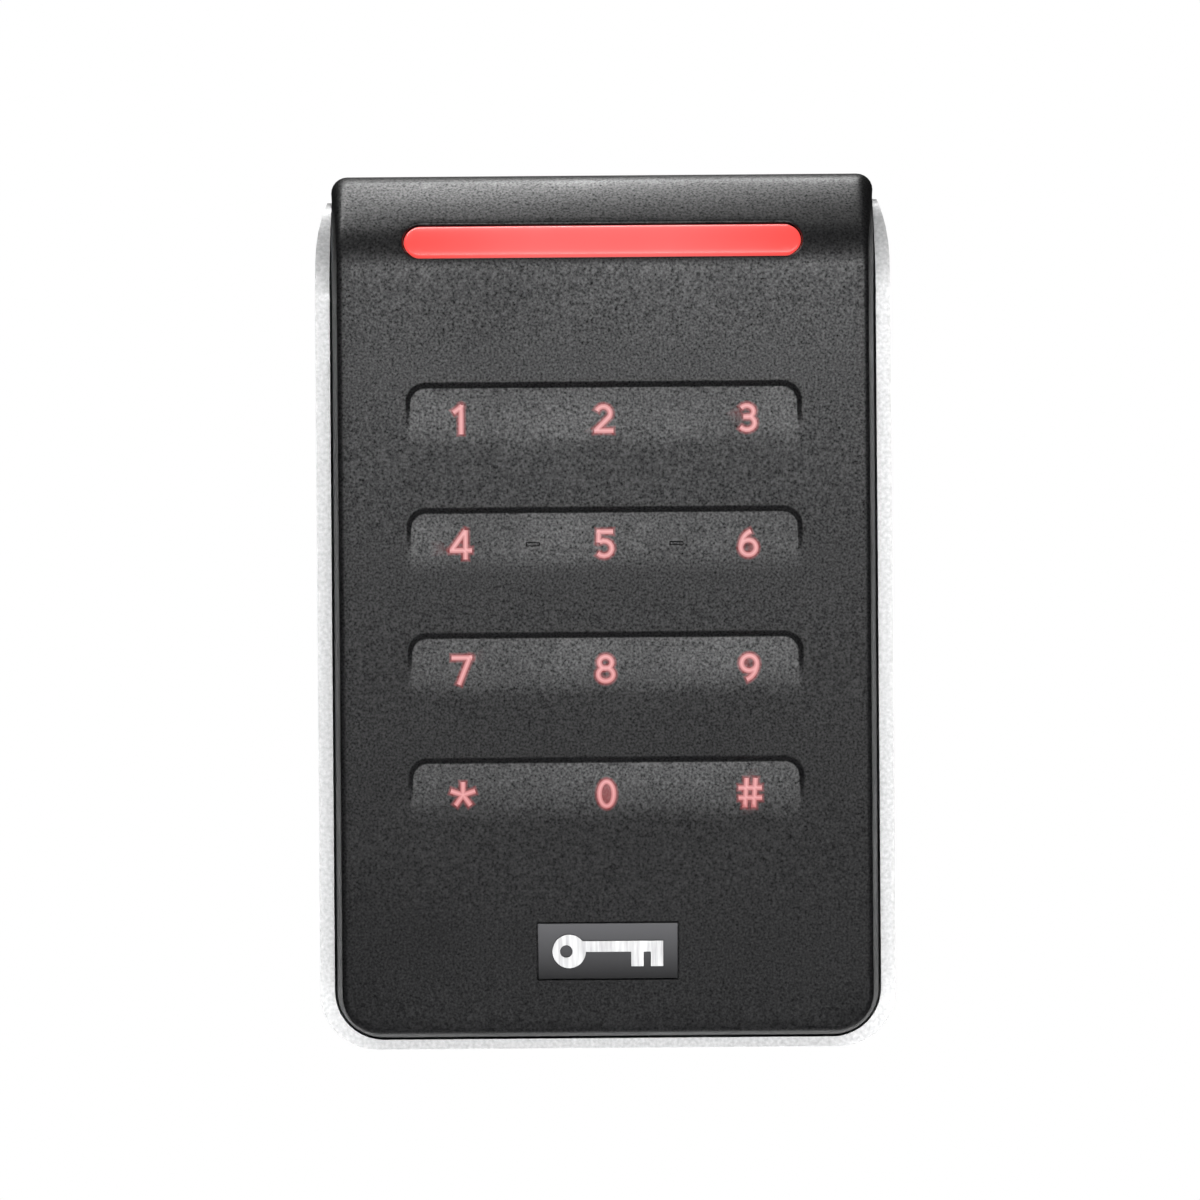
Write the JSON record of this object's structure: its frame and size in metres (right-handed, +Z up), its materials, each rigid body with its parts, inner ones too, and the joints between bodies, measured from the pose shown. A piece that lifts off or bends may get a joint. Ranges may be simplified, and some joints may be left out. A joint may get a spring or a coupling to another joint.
{
  "type": "keypad access reader",
  "caption": "Wall-mounted touch keypad card reader with a lit status bar, lit digits under shallow ledges, a silver side trim and a lift-off wall plate.",
  "frame": {"origin": "middle of the back face of the wall plate, on the wall plane", "axes": "+X to the right as the keypad is read, +Y into the wall, +Z up"},
  "size_m": [0.08, 0.0215, 0.1216],
  "materials": {
    "plate_plastic": "black moulded, fine grain",
    "silver_trim": "silver satin coat on a moulded frame",
    "brass": "machined",
    "steel": "zinc plated",
    "cover_plastic": "black, spark-eroded grain",
    "light_bar": "translucent, lit red",
    "clear_guide": "clear moulded",
    "badge_plate": "dark grey, satin",
    "badge_chrome": "bright, brushed",
    "touch_film": "clear film with printed traces",
    "connector_plastic": "moulded",
    "white_plastic": "moulded, reflective",
    "led": "cast resin",
    "circuit_board": "solder mask with printed traces",
    "copper": "copper trace under clear mask",
    "chip": "moulded epoxy",
    "shield_can": "tinned sheet",
    "ferrite": "sintered",
    "sounder_plastic": "moulded",
    "terminal_plastic": "moulded",
    "housing_plastic": "black moulded, fine grain",
    "gasket": "closed foam",
    "legend_glow": "translucent, lit pale red"
  },
  "bodies": {
    "wall_mount": {"mounting_plate": "plate_plastic", "trim_frame": "silver_trim", "lock_insert": "brass"},
    "lock_washer": {"screw_washer": "steel"},
    "lock_screw": {"security_screw": "steel"},
    "hinge_bar": {"pivot_bar": "steel"},
    "reader": {"front_cover": "cover_plastic", "light_bar": "light_bar", "light_guide": "clear_guide", "badge_plate": "badge_plate", "badge_emblem": "badge_chrome", "touch_film": "touch_film", "film_connector": "connector_plastic", "keypad_light_box": "white_plastic", "key_leds": "led", "bar_leds": "led", "main_board": "circuit_board", "antenna_coil": "copper", "processor_chip": "chip", "radio_chip": "chip", "secure_chip": "chip", "wireless_module": "shield_can", "crystal": "shield_can", "power_inductor": "ferrite", "capacitors": "shield_can", "resistors": "chip", "sounder": "sounder_plastic", "tamper_sensor": "chip", "terminal_block_left": "terminal_plastic", "terminal_block_right": "terminal_plastic", "terminal_screws": "steel", "terminal_clamps": "steel", "rear_housing": "housing_plastic", "housing_gasket": "gasket", "housing_screws": "steel", "legend_1": "legend_glow", "legend_2": "legend_glow", "legend_3": "legend_glow", "legend_4": "legend_glow", "legend_5": "legend_glow", "legend_6": "legend_glow", "legend_7": "legend_glow", "legend_8": "legend_glow", "legend_9": "legend_glow", "legend_star": "legend_glow", "legend_0": "legend_glow", "legend_hash": "legend_glow"}
  },
  "joints": [
    {"name": "reader_lift", "type": "slide", "parent": "wall_mount", "child": "hinge_bar", "axis": [0, 0, 1], "range_m": [0, 0.003]},
    {"name": "reader_swing", "type": "hinge", "parent": "hinge_bar", "child": "reader", "pos_m": [0, -0.0044, 0.056], "axis": [-1, 0, 0], "range_deg": [0, 18]},
    {"name": "screw_advance", "type": "slide", "parent": "wall_mount", "child": "lock_washer", "axis": [0, 0, 1], "range_m": [0, 0.0035]},
    {"name": "screw_turn", "type": "hinge", "parent": "lock_washer", "child": "lock_screw", "pos_m": [0, -0.005, -0.058], "axis": [0, 0, 1], "range_deg": [0, 1588]}
  ],
  "couplings": [
    {"joint": "screw_turn", "follows": "screw_advance", "rad_per_m": 7915.8}
  ]
}
